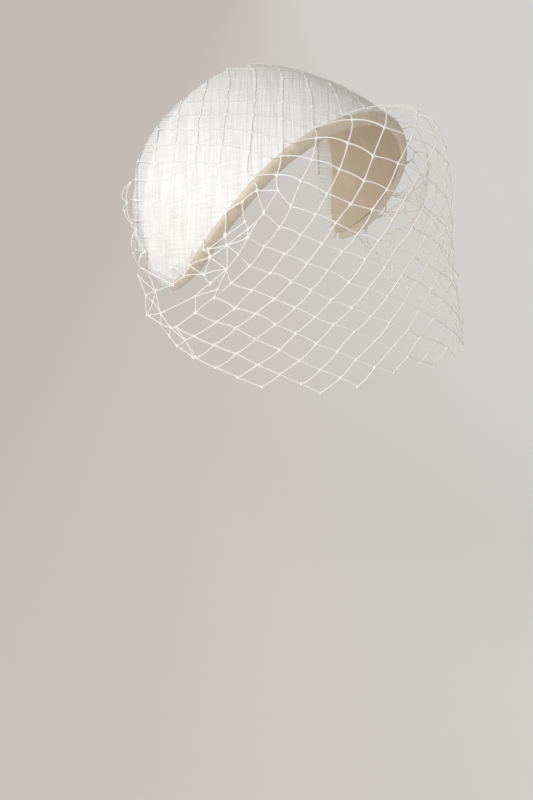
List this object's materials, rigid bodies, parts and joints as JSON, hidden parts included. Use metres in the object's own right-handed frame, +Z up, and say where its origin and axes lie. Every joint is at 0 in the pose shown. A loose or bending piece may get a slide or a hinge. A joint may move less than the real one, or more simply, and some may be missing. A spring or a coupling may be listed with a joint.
{
  "type": "half hat with net veil",
  "caption": "Crescent half hat of slubbed ivory cloth with a cream lining and rolled edges, worn from ear to ear, with an open diamond net veil that falls in front of the face.",
  "frame": {"origin": "the seat: the point inside the crown, on the middle line, that rests on the top of the head", "axes": "+Z up, -Y towards the face, +X towards the wearer's left"},
  "size_m": [0.2156, 0.1771, 0.1795],
  "materials": {
    "slub_silk": "satin",
    "cream_lining": "satin",
    "cream_binding": "satin",
    "veil_net": "matte"
  },
  "bodies": {
    "root": {"cover": "slub_silk", "lining": "cream_lining", "front_binding": "cream_binding", "back_binding": "slub_silk", "veil_net": "veil_net"}
  },
  "joints": []
}
